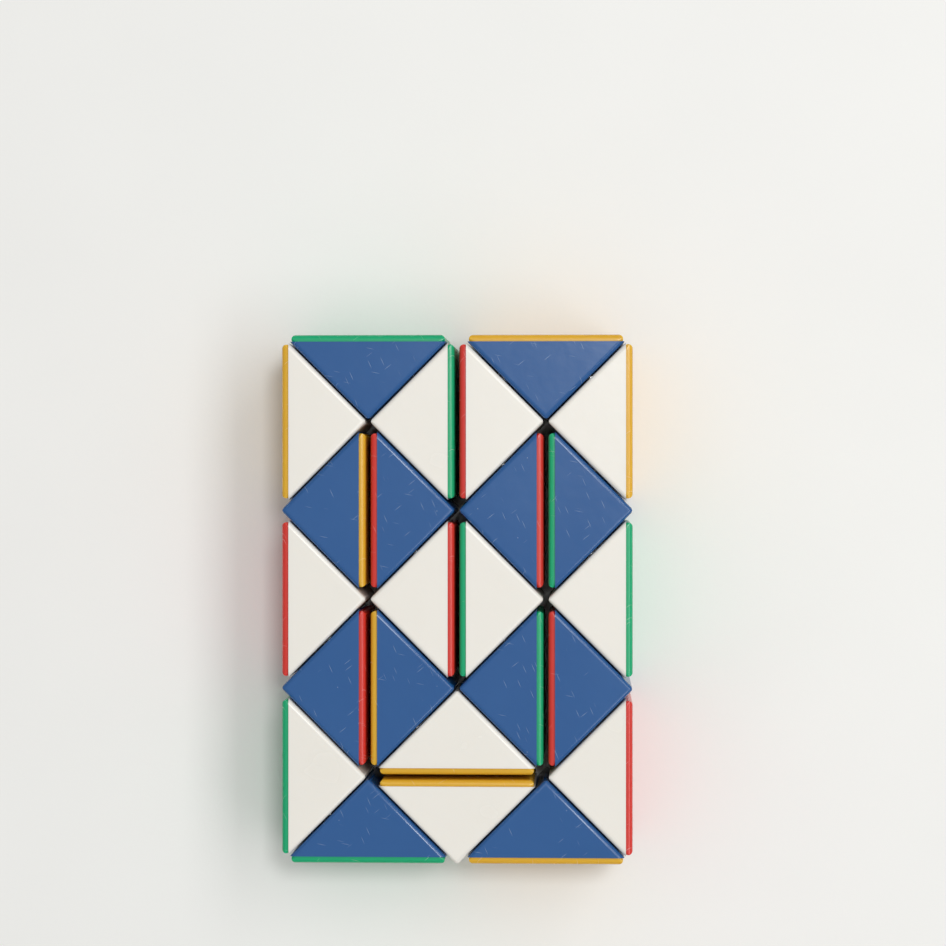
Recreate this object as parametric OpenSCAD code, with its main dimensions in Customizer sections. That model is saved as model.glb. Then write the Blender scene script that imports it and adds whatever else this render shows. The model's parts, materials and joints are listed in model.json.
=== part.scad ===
// Twisty snake puzzle: 24 hollow plastic wedges in one chain, folded into a flat rectangle.
// Each wedge is half of a square block, with a coloured cap on its diagonal face.
// Neighbours are joined by a sprung screw through the middle of the leg faces that meet.
// The origin is at the middle of the underside, +Y runs along the longer side of the
// rectangle and +Z through its thickness.

/* [Wedges] */
// Leg length of a wedge, which is also its thickness
pitch = 24; // [24:0.5:40]
// Gap between the leg faces of two joined wedges
leg_gap = 0.3; // [0.2:0.05:0.5]
// Gap between the outer faces of two caps that face each other
cap_gap = 0.9; // [0.8:0.1:1]
// Thickness of the plastic walls
wall = 1.6; // [1.2:0.1:2]
// Radius of the rounded edges and corners
edge_r = 0.9; // [0.5:0.1:1.2]

/* [Caps] */
// Thickness of the coloured plate on the diagonal face
cap_t = 1.3; // [1:0.1:1.4]
// How far the plate stays inside the shell's outline
cap_inset = 0.25; // [0.1:0.05:0.4]
// Depth of the two ribs that hold the cap in the shell
rib_depth = 2; // [1:0.5:2]
// Length of those ribs
rib_length = 19; // [8:1:19]

/* [Pivots] */
// Diameter of the screw's shank
shank_d = 3; // [2.4:0.1:3]
// Radial clearance of the shank in the white wedge
shank_play = 0.1; // [0.05:0.01:0.1]
// Diameter of the screw's head
head_d = 5.6; // [5:0.1:5.6]
// Outer diameter of the screw boss in a blue wedge
boss_d = 6; // [5:0.1:6]
// Diameter of the spring's wire
wire_d = 0.6; // [0.4:0.1:0.6]
// Turns in a spring
spring_turns = 4; // [3:0.5:4]

/* [Click stops] */
// Radius of the ring on which the four bumps of a face lie
bump_ring_r = 6.6; // [5:0.1:7]
// Radius of a bump's ball
bump_r = 1; // [0.8:0.1:1]

/* [Hidden] */
$fn = 48;
wedge_count = 24;
// How far solids that are joined reach into each other
eps = 0.01;
// How far a cutting shape reaches past what it cuts
over = 1;

// One letter for each pivot, from wedge 1 to wedge 24. "t": the next wedge folds round the same
// right-angled corner. "s": it lies the other way round, so that the chain runs straight on.
FOLD = "tsstssssttsssttsssttsss";

// Half the diagonal of a square of the pitch: the spacing of the corners in the rectangle
corner_step = pitch / sqrt(2);
// Outer faces, measured from the wedge's ideal outline
leg_face = leg_gap / 2;
cap_face = cap_gap / 2;
inner_face = leg_face + wall;
// x + y on the plane where a shell ends and its cap begins
shell_sum = pitch - (cap_face + cap_t) * sqrt(2);

// Ribs of a cap: thickness, gap to the shell's walls, and depth of the root in the plate
rib_t = 1;
rib_play = 0.05;
rib_root = 0.4;

// Places along a pivot's axis, from the plane between two wedges into the blue one
boss_end = 5.6;
screw_tip = 5;
pilot_end = 5.2;
head_t = 1.3;
head_top = -6.3;
head_under = head_top + head_t;
spring_play = 0.1;
slot_depth = 0.7;
slot_w = 0.8;
slot_l = 3.6;

// Click stops: the bumps of a blue face run in a ring-shaped track of the white face
bump_centre = 0.5;
track_floor = 0.7;
track_play = 0.2;
socket_floor = 0.95;
socket_r = bump_r + 0.1;

// A spring: sides round its wire, rings in each turn, and gap to the screw's shank
wire_sides = 4;
rings_per_turn = 10;
spring_gap = 0.4;
spring_r = shank_d / 2 + spring_gap + wire_d / 2;

white = [0.91, 0.90, 0.87];
blue = [0.19, 0.36, 0.59];
steel = [0.72, 0.73, 0.75];
cap_names = ["green", "yellow", "red"];
cap_colours = [[0, 0.69, 0.47], [0.88, 0.7, 0.2], [0.84, 0.25, 0.21]];

function is_blue(n) = n % 2 == 0;
function cap_kind(n) = floor((n - 1) / 2) % 3;
function two_digits(n) = str(n < 10 ? "0" : "", n);
function shell_name(n) = str(is_blue(n) ? "blue" : "white", "_wedge_", two_digits(n));
function cap_name(n) = str(cap_names[cap_kind(n)], "_cap_", two_digits(n));
function pivot_name(n) = str("pivot_set_", two_digits(n));

shell_nodes = [for (n = [1:wedge_count]) shell_name(n)];
cap_nodes = [for (n = [1:wedge_count]) cap_name(n)];
pivot_nodes = [for (n = [2:2:wedge_count]) pivot_name(n)];

// ---- Where each wedge lies ----

// A place is [x, y, angle, side]: the right-angled corner, the direction of the first leg, and
// which leg leads on to the next wedge (1: the second, -1: the first)
function onward(place) = place[2] + (place[3] > 0 ? 90 : 0);
function folded(place) = [place[0], place[1], place[2] + 90 * place[3], place[3]];
function straight(place) = [
    place[0] + pitch * cos(onward(place)),
    place[1] + pitch * sin(onward(place)),
    place[2] + 180,
    -place[3]
];
function next_place(place, letter) = letter == "t" ? folded(place) : straight(place);
first_place = [-corner_step, -2 * corner_step, 135, 1];
function place_of(n) = n == 1 ? first_place : next_place(place_of(n - 1), FOLD[n - 2]);

module in_place(n) {
    place = place_of(n);
    translate([place[0], place[1], 0])
        rotate([0, 0, place[2]])
            children();
}

// Legs: 0 lies along x, 1 along y. The onward leg holds pivot n, the other one pivot n - 1
function onward_leg(n) = place_of(n)[3] > 0 ? 1 : 0;
function joined_legs(n) = [
    if (n > 1) 1 - onward_leg(n),
    if (n < wedge_count) onward_leg(n)
];

// Turns +Z into a leg face, with the origin in the middle of the wedge's ideal face
module at_leg(leg) {
    if (leg == 0) {
        translate([pitch / 2, 0, pitch / 2])
            rotate([-90, 0, 0])
                children();
    } else {
        translate([0, pitch / 2, pitch / 2])
            rotate([0, 90, 0])
                children();
    }
}

// ---- Wedge ----

// Rectangle in the first quadrant whose near corners are rounded, used as a bar's section
module bar_section(near, far, low, high) {
    translate([near + edge_r, low])
        square([far - near - edge_r, high - low]);
    translate([near, low + edge_r])
        square([edge_r * 2, high - low - 2 * edge_r]);
    for (z = [low + edge_r, high - edge_r])
        translate([near + edge_r, z])
            circle(edge_r);
}

// Triangular block with rounded corners and edges, shrunk by inset on its legs and ends
module rounded_block(inset) {
    near = leg_face + inset;
    start = near + edge_r;
    across = pitch - (cap_face + edge_r) * sqrt(2);
    corners = [[start, start], [across - start, start], [start, across - start]];
    outward = edge_r / sqrt(2) * [1, 1];
    low = inset;
    high = pitch - inset;
    intersection() {
        translate([0, 0, low])
            linear_extrude(high - low)
                union() {
                    polygon([
                        corners[0] - [0, edge_r],
                        corners[1] - [0, edge_r],
                        corners[1] + outward,
                        corners[2] + outward,
                        corners[2] - [edge_r, 0],
                        corners[0] - [edge_r, 0]
                    ]);
                    for (corner = corners)
                        translate(corner)
                            circle(edge_r);
                }
        // Along x, rounding the edges of the face at y = near
        translate([-pitch, 0, 0])
            rotate([90, 0, 90])
                linear_extrude(3 * pitch)
                    bar_section(near, 2 * pitch, low, high);
        // Along y, rounding the edges of the face at x = near
        translate([0, 2 * pitch, 0])
            rotate([90, 0, 0])
                linear_extrude(3 * pitch)
                    bar_section(near, 2 * pitch, low, high);
        // Along the diagonal
        translate([pitch / 2, pitch / 2, 0])
            rotate([0, 0, 45])
                translate([0, 2 * pitch, 0])
                    rotate([90, 0, 0])
                        linear_extrude(4 * pitch)
                            mirror([1, 0])
                                bar_section(cap_face, 3 * pitch, low, high);
    }
}

// Everything on the legs' side of the plane between shell and cap
module shell_side() {
    translate([0, 0, -over])
        linear_extrude(pitch + 2 * over)
            polygon([[-over, -over], [shell_sum + over, -over], [-over, shell_sum + over]]);
}

module cavity() {
    reach = shell_sum + over;
    translate([0, 0, wall])
        linear_extrude(pitch - 2 * wall)
            polygon([
                [inner_face, inner_face],
                [reach - inner_face, inner_face],
                [inner_face, reach - inner_face]
            ]);
}

module hollow_wedge() {
    difference() {
        intersection() {
            rounded_block(0);
            shell_side();
        }
        cavity();
    }
}

module bumps() {
    for (turn = [45:90:315])
        rotate([0, 0, turn])
            translate([bump_ring_r, 0, bump_centre])
                sphere(bump_r);
}

// Ring-shaped track with four deeper sockets, cut into a face from outside
module bump_track() {
    translate([0, 0, -eps])
        difference() {
            cylinder(r = bump_ring_r + bump_r + track_play, h = track_floor + eps);
            translate([0, 0, -eps])
                cylinder(r = bump_ring_r - bump_r - track_play, h = track_floor + 3 * eps);
        }
    for (turn = [45:90:315])
        rotate([0, 0, turn])
            translate([bump_ring_r, 0, -eps])
                cylinder(r = socket_r, h = socket_floor + eps);
}

module blue_wedge(n) {
    color(blue)
        in_place(n)
            difference() {
                union() {
                    hollow_wedge();
                    for (leg = joined_legs(n))
                        at_leg(leg) {
                            translate([0, 0, inner_face - eps])
                                cylinder(d = boss_d, h = boss_end - inner_face + eps);
                            bumps();
                        }
                }
                for (leg = joined_legs(n))
                    at_leg(leg)
                        translate([0, 0, -over])
                            cylinder(d = shank_d, h = pilot_end + over);
            }
}

module white_wedge(n) {
    color(white)
        in_place(n)
            difference() {
                hollow_wedge();
                for (leg = joined_legs(n))
                    at_leg(leg) {
                        translate([0, 0, -over])
                            cylinder(d = shank_d + 2 * shank_play, h = inner_face + 2 * over);
                        bump_track();
                    }
            }
}

// ---- Cap ----

module cap(n) {
    color(cap_colours[cap_kind(n)])
        in_place(n) {
            difference() {
                rounded_block(cap_inset);
                shell_side();
            }
            for (z = [wall + rib_play, pitch - wall - rib_play - rib_t])
                translate([shell_sum / 2, shell_sum / 2, z])
                    rotate([0, 0, 45])
                        translate([-rib_depth, -rib_length / 2, 0])
                            cube([rib_depth + rib_root, rib_length, rib_t]);
        }
}

// ---- Pivot: a screw that turns in the white wedge, and the spring under its head ----

module screw() {
    difference() {
        union() {
            translate([0, 0, head_top])
                cylinder(d = head_d, h = head_t);
            translate([0, 0, head_under - eps])
                cylinder(d = shank_d, h = screw_tip - head_under + eps);
        }
        for (turn = [0, 90])
            rotate([0, 0, turn])
                translate([-slot_l / 2, -slot_w / 2, head_top - over])
                    cube([slot_l, slot_w, slot_depth + over]);
    }
}

// One ring of points round the wire, at a given number of turns up the spring
function wire_ring(turns, low, rise) = [
    for (side = [0:wire_sides - 1])
        let (
            round_wire = 360 * (side + 0.5) / wire_sides,
            r = spring_r + wire_d / 2 * cos(round_wire)
        )
        [
            r * cos(360 * turns),
            r * sin(360 * turns),
            low + rise * turns / spring_turns + wire_d / 2 * sin(round_wire)
        ]
];

module spring() {
    low = head_under + spring_play + wire_d / 2;
    high = -inner_face - spring_play - wire_d / 2;
    last = spring_turns * rings_per_turn;
    points = [
        for (ring = [0:last])
            each wire_ring(ring / rings_per_turn, low, high - low)
    ];
    skin = [
        for (ring = [0:last - 1])
            for (side = [0:wire_sides - 1])
                let (
                    a = ring * wire_sides + side,
                    b = ring * wire_sides + (side + 1) % wire_sides
                )
                [a, b, b + wire_sides, a + wire_sides]
    ];
    first_end = [for (side = [wire_sides - 1:-1:0]) side];
    last_end = [for (side = [0:wire_sides - 1]) last * wire_sides + side];
    polyhedron(points, concat([first_end, last_end], skin));
}

// The screws that one blue wedge holds, with their springs
module pivot_set(n) {
    color(steel)
        in_place(n)
            for (leg = joined_legs(n))
                at_leg(leg) {
                    screw();
                    spring();
                }
}

module wedge_shell(n) {
    if (is_blue(n))
        blue_wedge(n);
    else
        white_wedge(n);
}

for (n = [1:wedge_count])
    wedge_shell(n);
for (n = [1:wedge_count])
    cap(n);
for (n = [2:2:wedge_count])
    pivot_set(n);
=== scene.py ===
"""The looks of a twisty snake puzzle: 24 glossy wedges with coloured caps, folded flat."""
import json
import math

import bpy
from mathutils import Matrix, Vector


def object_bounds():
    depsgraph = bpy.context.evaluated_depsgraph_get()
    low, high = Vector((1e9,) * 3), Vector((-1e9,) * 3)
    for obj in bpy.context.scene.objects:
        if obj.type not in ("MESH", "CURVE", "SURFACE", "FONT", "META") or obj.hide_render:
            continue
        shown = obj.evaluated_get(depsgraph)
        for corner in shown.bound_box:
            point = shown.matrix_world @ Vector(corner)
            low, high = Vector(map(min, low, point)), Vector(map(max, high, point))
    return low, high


MM = 0.001
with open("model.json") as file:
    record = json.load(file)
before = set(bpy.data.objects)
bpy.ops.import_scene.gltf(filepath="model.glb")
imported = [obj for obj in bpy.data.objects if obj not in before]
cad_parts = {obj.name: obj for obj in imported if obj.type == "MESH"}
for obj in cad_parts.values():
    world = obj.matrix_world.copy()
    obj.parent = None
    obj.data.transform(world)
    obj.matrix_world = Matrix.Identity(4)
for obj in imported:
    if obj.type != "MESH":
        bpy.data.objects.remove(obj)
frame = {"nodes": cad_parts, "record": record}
cad_box = [list(corner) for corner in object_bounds()]
low, high = (Vector(corner) for corner in cad_box)
middle = (low + high) / 2

# ---- Camera ----

# The point at the height of the puzzle's top that is in the middle of the picture
AIM = Vector((3.1 * MM, 24.1 * MM, high.z))
# The point at that height that the camera is over, and how high over it
CAMERA_OVER = Vector((24 * MM, 26 * MM, high.z))
CAMERA_HEIGHT = 520 * MM
# Width of the picture at that height
VIEW_WIDTH = 180 * MM
# Width of the camera's sensor, in Blender's own unit for it
SENSOR = 36.0


def look_from(thing, place, target):
    """Puts a camera or light at place, facing target, with its top side towards +Y."""
    back = (Vector(place) - Vector(target)).normalized()
    right = Vector((0, 1, 0)).cross(back).normalized()
    thing.location = place
    thing.rotation_euler = Matrix((right, back.cross(right), back)).transposed().to_euler()


def add_camera():
    """Almost straight above, and nearer to the puzzle's far end than to its middle."""
    data = bpy.data.cameras.new("camera")
    camera = bpy.data.objects.new("camera", data)
    look_from(camera, CAMERA_OVER + Vector((0, 0, CAMERA_HEIGHT)), AIM)
    data.sensor_width = SENSOR
    data.lens = SENSOR * CAMERA_HEIGHT / VIEW_WIDTH
    data.clip_start = 0.01
    data.clip_end = 10
    data.dof.use_dof = False
    bpy.context.scene.collection.objects.link(camera)
    bpy.context.scene.camera = camera


add_camera()

# ---- Material helpers ----


class Nodes:
    """A short way to write a material's node tree."""

    def __init__(self, name):
        self.material = bpy.data.materials.new(name)
        self.material.use_nodes = True
        self.tree = self.material.node_tree
        self.shader = self.tree.nodes["Principled BSDF"]
        self.place = self.add("ShaderNodeTexCoord").outputs["Object"]

    def add(self, kind, inputs=(), **settings):
        """A new node. Settings are its own properties, and inputs are pairs of socket and value."""
        node = self.tree.nodes.new(kind)
        for name, value in settings.items():
            setattr(node, name, value)
        for socket, value in inputs:
            self.put(node.inputs[socket], value)
        return node

    def put(self, socket, value):
        """A value is a number, a colour or another node's output."""
        if isinstance(value, bpy.types.NodeSocket):
            self.tree.links.new(value, socket)
        else:
            socket.default_value = value

    def set(self, **values):
        """Sockets of the shader, with a space for each underscore."""
        for name, value in values.items():
            self.put(self.shader.inputs[name.replace("_", " ")], value)

    def math(self, operation, *values):
        return self.add("ShaderNodeMath", enumerate(values), operation=operation).outputs[0]

    def mix(self, amount, first, second):
        """A colour from first to second. Sockets 6 and 7 are the node's two colours."""
        inputs = (("Factor", amount), (6, first), (7, second))
        return self.add("ShaderNodeMix", inputs, data_type="RGBA").outputs[2]

    def step(self, value, low_end, high_end, start=0.0, end=1.0):
        """Value from low_end to high_end, spread over start to end, and level outside."""
        inputs = enumerate((value, low_end, high_end, start, end))
        return self.add("ShaderNodeMapRange", inputs, clamp=True).outputs[0]

    def moved(self, turn, stretch, shift):
        """Where a pattern is read from, when it is stretched, then turned and shifted."""
        inputs = (("Vector", self.place), ("Rotation", turn), ("Scale", stretch), ("Location", shift))
        return self.add("ShaderNodeMapping", inputs, vector_type="TEXTURE").outputs[0]

    def noise(self, size, detail):
        """Smooth noise from 0 to 1, whose grains are about as wide as size."""
        inputs = (("Vector", self.place), ("Scale", 1 / size), ("Detail", detail))
        return self.add("ShaderNodeTexNoise", inputs).outputs["Fac"]

    def cells(self, size, place=None):
        """Cells about as wide as size. Distance is to the middle of a cell, in cell widths."""
        inputs = (("Vector", place or self.place), ("Scale", 1 / size))
        return self.add("ShaderNodeTexVoronoi", inputs)

    def bump(self, height, distance):
        """A height of 1 stands for distance in metres."""
        inputs = (("Height", height), ("Distance", distance))
        return self.add("ShaderNodeBump", inputs).outputs["Normal"]


# ---- Worn surface of the moulded plastic ----

SCRATCH_WIDTH = 0.08 * MM
# How many times longer than wide a scratch is at most
SCRATCH_STRETCH = 26
# How far a seed of 1 shifts a pattern
SEED_STEP = (13 * MM, 7 * MM, 3 * MM)
SPECK_SPACING = 1.9 * MM
SPECK_RADIUS = 0.12 * MM
# Share of the cells that hold a speck
SPECK_SHARE = 0.16


def scratches(nodes, turn, spacing, seed):
    """Fine straight scratches, 1 on a scratch and 0 between them.

    Each is where the surface cuts a thin disc, and a disc is the middle of a cell that is
    stretched in two directions. Turn is the discs' tilt in degrees, and spacing lies across them.
    """
    shift = [seed * step for step in SEED_STEP]
    tilt = [math.radians(angle) for angle in turn]
    stretched = nodes.moved(tilt, (1, SCRATCH_STRETCH, SCRATCH_STRETCH), shift)
    distance = nodes.cells(spacing, place=stretched).outputs["Distance"]
    edge = SCRATCH_WIDTH / 2 / spacing
    return nodes.step(distance, edge / 3, edge, 1.0, 0.0)


def specks(nodes):
    """Small pale specks of dust and nicks."""
    cell = nodes.cells(SPECK_SPACING)
    edge = SPECK_RADIUS / SPECK_SPACING
    spot = nodes.step(cell.outputs["Distance"], edge * 0.4, edge, 1.0, 0.0)
    pick = nodes.add("ShaderNodeSeparateColor", ((0, cell.outputs["Color"]),)).outputs[0]
    kept = nodes.step(pick, SPECK_SHARE, SPECK_SHARE + 0.01, 1.0, 0.0)
    return nodes.math("MULTIPLY", spot, kept)


def wear(nodes):
    """Scratches in three directions, and specks: 1 on a mark and 0 between them."""
    marks = specks(nodes)
    for seed, turn, spacing in (
        (1, (0, 31, 24), 0.4 * MM),
        (2, (0, -38, -52), 0.43 * MM),
        (3, (0, 17, 78), 0.5 * MM),
    ):
        marks = nodes.math("MAXIMUM", marks, scratches(nodes, turn, spacing, seed))
    return marks


def plastic(name, colour, shade, worn, wear_colour, roughness, soak, depth):
    """Glossy moulded plastic: cloudy colour, a slight orange peel, scratches and specks.

    Worn is how strongly the marks show, from 0 to 1. A share of the light, soak, goes about as
    far into the plastic as depth.
    """
    nodes = Nodes(name)
    cloud = nodes.noise(17 * MM, detail=3.0)
    marks = nodes.math("MULTIPLY", wear(nodes), worn)
    base = nodes.mix(cloud, (*colour, 1), (*shade, 1))
    nodes.set(Base_Color=nodes.mix(marks, base, (*wear_colour, 1)))
    haze = nodes.math("MULTIPLY_ADD", cloud, 0.05, roughness)
    nodes.set(Roughness=nodes.math("MULTIPLY_ADD", marks, 0.3, haze))
    nodes.set(Normal=nodes.bump(nodes.noise(4 * MM, detail=4.0), 0.03 * MM))
    nodes.set(IOR=1.52, Subsurface_Weight=soak, Subsurface_Scale=depth)
    nodes.set(Subsurface_Radius=(1.0, 0.9, 0.8))
    return nodes.material


def cap_plastic(name, colour, shade):
    """Thin, slightly translucent plastic, in which light goes on a little further."""
    return plastic(
        name,
        colour=colour,
        shade=shade,
        worn=0.3,
        wear_colour=(0.8, 0.8, 0.78),
        roughness=0.24,
        soak=0.4,
        depth=2.5 * MM,
    )


def steel(name):
    """Zinc-plated steel with a dull bloom and a fine grain."""
    nodes = Nodes(name)
    bloom = nodes.noise(1.4 * MM, detail=4.0)
    grain = nodes.noise(0.25 * MM, detail=3.0)
    nodes.set(Base_Color=nodes.mix(bloom, (0.62, 0.63, 0.66, 1), (0.45, 0.46, 0.47, 1)))
    nodes.set(Metallic=1.0, Roughness=nodes.step(bloom, 0.3, 0.7, 0.22, 0.42))
    nodes.set(Normal=nodes.bump(grain, 0.004 * MM))
    return nodes.material


def make_materials():
    """One material for each of the record's material slots."""
    return {
        "white_shell": plastic(
            "white_shell",
            colour=(0.86, 0.83, 0.77),
            shade=(0.82, 0.795, 0.73),
            worn=0.22,
            wear_colour=(0.5, 0.48, 0.43),
            roughness=0.24,
            soak=0.15,
            depth=1.5 * MM,
        ),
        "blue_shell": plastic(
            "blue_shell",
            colour=(0.012, 0.088, 0.275),
            shade=(0.017, 0.10, 0.295),
            worn=0.5,
            wear_colour=(0.42, 0.52, 0.66),
            roughness=0.2,
            soak=0.15,
            depth=0.4 * MM,
        ),
        "green_cap": cap_plastic("green_cap", (0.0, 0.40, 0.17), (0.0, 0.36, 0.15)),
        "yellow_cap": cap_plastic("yellow_cap", (0.76, 0.42, 0.025), (0.72, 0.38, 0.02)),
        "red_cap": cap_plastic("red_cap", (0.68, 0.035, 0.025), (0.62, 0.03, 0.02)),
        "pivot_steel": steel("pivot_steel"),
    }


# ---- CAD nodes ----

# Welds points that the CAD mesh repeats along the borders of its faces
WELD_DISTANCE = 0.001 * MM
# Edges sharper than this stay crisp, in degrees
CRISP_ANGLE = 32
# The most that a modifier takes, so that a flat face outweighs the fillets round it
FACE_WEIGHT = 100


def all_smooth_group():
    """Node group that shades every face smooth."""
    group = bpy.data.node_groups.new("all_smooth", "GeometryNodeTree")
    for way in ("INPUT", "OUTPUT"):
        group.interface.new_socket("Geometry", in_out=way, socket_type="NodeSocketGeometry")
    smooth = group.nodes.new("GeometryNodeSetShadeSmooth")
    group.links.new(group.nodes.new("NodeGroupInput").outputs[0], smooth.inputs["Geometry"])
    group.links.new(smooth.outputs["Geometry"], group.nodes.new("NodeGroupOutput").inputs[0])
    return group


def shade_cleanly(thing, group):
    """Flat faces look flat up to their fillets, and sharp edges stay crisp."""
    weld = thing.modifiers.new("weld", "WELD")
    weld.merge_threshold = WELD_DISTANCE
    thing.modifiers.new("all_smooth", "NODES").node_group = group
    split = thing.modifiers.new("split", "EDGE_SPLIT")
    split.split_angle = math.radians(CRISP_ANGLE)
    normals = thing.modifiers.new("normals", "WEIGHTED_NORMAL")
    normals.mode = "FACE_AREA"
    normals.weight = FACE_WEIGHT


def finish_nodes():
    """Every CAD node keeps its mesh, and takes the material that the record names for it."""
    materials = make_materials()
    group = all_smooth_group()
    for subpart in frame["record"]["subparts"]:
        thing = frame["nodes"][subpart["node"]]
        thing.data.materials.clear()
        thing.data.materials.append(materials[subpart["material_slot"]])
        shade_cleanly(thing, group)


finish_nodes()

# ---- Floor and light ----

# Half the floor's side, in metres. Its edge shows only from the lowest views
FLOOR_HALF = 4.0


def floor_material():
    """Pale, matt and slightly mottled."""
    nodes = Nodes("floor")
    mottle = nodes.noise(40 * MM, detail=4.0)
    nodes.set(Base_Color=nodes.mix(mottle, (0.90, 0.90, 0.88, 1), (0.86, 0.86, 0.84, 1)))
    nodes.set(Roughness=0.8)
    nodes.set(Normal=nodes.bump(nodes.noise(0.8 * MM, detail=3.0), 0.02 * MM))
    return nodes.material


def add_floor():
    """A square at the height of the puzzle's underside."""
    mesh = bpy.data.meshes.new("floor")
    signs = [(-1, -1), (1, -1), (1, 1), (-1, 1)]
    corners = [(x * FLOOR_HALF, y * FLOOR_HALF, low.z) for x, y in signs]
    mesh.from_pydata(corners, [], [(0, 1, 2, 3)])
    mesh.materials.append(floor_material())
    floor = bpy.data.objects.new("floor", mesh)
    bpy.context.scene.collection.objects.link(floor)


def add_light(name, place, width, length, watts):
    """A soft box at place that faces the puzzle, with its length along Y. Sizes are in metres."""
    data = bpy.data.lights.new(name, "AREA")
    data.shape = "RECTANGLE"
    data.size = width
    data.size_y = length
    data.energy = watts
    light = bpy.data.objects.new(name, data)
    look_from(light, Vector(place), middle)
    bpy.context.scene.collection.objects.link(light)


def add_world(overhead, horizon):
    """A studio that is bright overhead and dimmer round the horizon."""
    world = bpy.data.worlds.new("studio")
    world.use_nodes = True
    tree = world.node_tree
    direction = tree.nodes.new("ShaderNodeTexCoord").outputs["Generated"]
    up = tree.nodes.new("ShaderNodeSeparateXYZ")
    ramp = tree.nodes.new("ShaderNodeMapRange")
    background = tree.nodes["Background"]
    ramp.inputs["From Min"].default_value = 0.1
    ramp.inputs["From Max"].default_value = 0.9
    ramp.inputs["To Min"].default_value = horizon
    ramp.inputs["To Max"].default_value = overhead
    tree.links.new(direction, up.inputs[0])
    tree.links.new(up.outputs["Z"], ramp.inputs["Value"])
    tree.links.new(ramp.outputs[0], background.inputs["Strength"])
    background.inputs["Color"].default_value = (1.0, 0.995, 0.98, 1)
    bpy.context.scene.world = world


add_floor()
add_world(overhead=0.6, horizon=0.2)
add_light("key", place=(0.62, 0.15, 0.95), width=0.35, length=1.5, watts=4.9)
add_light("top", place=(0.22, 0.25, 1.25), width=0.2, length=0.2, watts=4.3)
bpy.context.scene.view_settings.view_transform = "Standard"
